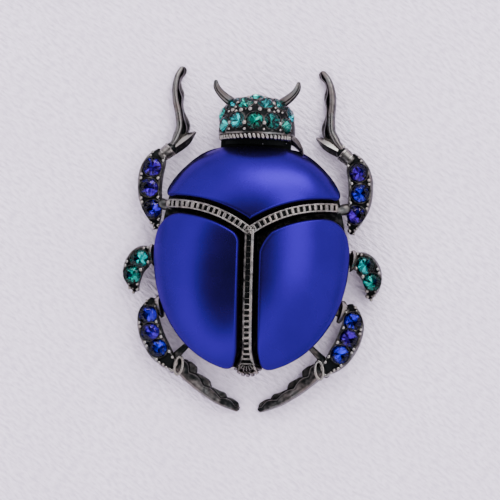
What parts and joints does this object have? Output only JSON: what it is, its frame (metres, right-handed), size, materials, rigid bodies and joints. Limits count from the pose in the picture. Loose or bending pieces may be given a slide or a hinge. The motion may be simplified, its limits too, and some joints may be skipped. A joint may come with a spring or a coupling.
{
  "type": "insect brooch",
  "caption": "Scarab beetle brooch: satin blue domed chest and wing pieces between a ladder rib, six legs and a horned head set with cut stones.",
  "frame": {"origin": "on the surface that the leg tips rest on, under the middle of the brooch's length and width", "axes": "+Y towards the head, +X towards the right wing seen from the front, +Z out of the front"},
  "size_m": [0.0378, 0.0493, 0.0108],
  "materials": {
    "gunmetal": "polished gunmetal plating, black in the recesses",
    "blue_satin": "satin royal blue lacquer over resin",
    "blue_glass": "cut sapphire-blue glass, foiled behind",
    "teal_glass": "cut teal glass, foiled behind",
    "pin_metal": "plain plated steel"
  },
  "bodies": {
    "root": {"cast_frame": "gunmetal", "chest_cabochon": "blue_satin", "left_wing_cabochon": "blue_satin", "right_wing_cabochon": "blue_satin", "pin_clasp": "pin_metal", "front_left_stone_1": "blue_glass", "front_left_stone_2": "blue_glass", "front_left_stone_3": "blue_glass", "mid_left_stone_1": "teal_glass", "mid_left_stone_2": "teal_glass", "hind_left_stone_1": "blue_glass", "hind_left_stone_2": "blue_glass", "hind_left_stone_3": "blue_glass", "front_right_stone_1": "blue_glass", "front_right_stone_2": "blue_glass", "front_right_stone_3": "blue_glass", "mid_right_stone_1": "teal_glass", "mid_right_stone_2": "teal_glass", "hind_right_stone_1": "blue_glass", "hind_right_stone_2": "blue_glass", "hind_right_stone_3": "blue_glass", "head_stone_1": "teal_glass", "head_stone_2": "teal_glass", "head_stone_3": "teal_glass", "head_stone_4": "teal_glass", "head_stone_5": "teal_glass", "head_stone_6": "teal_glass", "head_stone_7": "teal_glass", "head_stone_8": "teal_glass", "head_stone_9": "teal_glass", "head_stone_10": "teal_glass", "head_stone_11": "teal_glass", "head_stone_12": "teal_glass"}
  },
  "joints": []
}
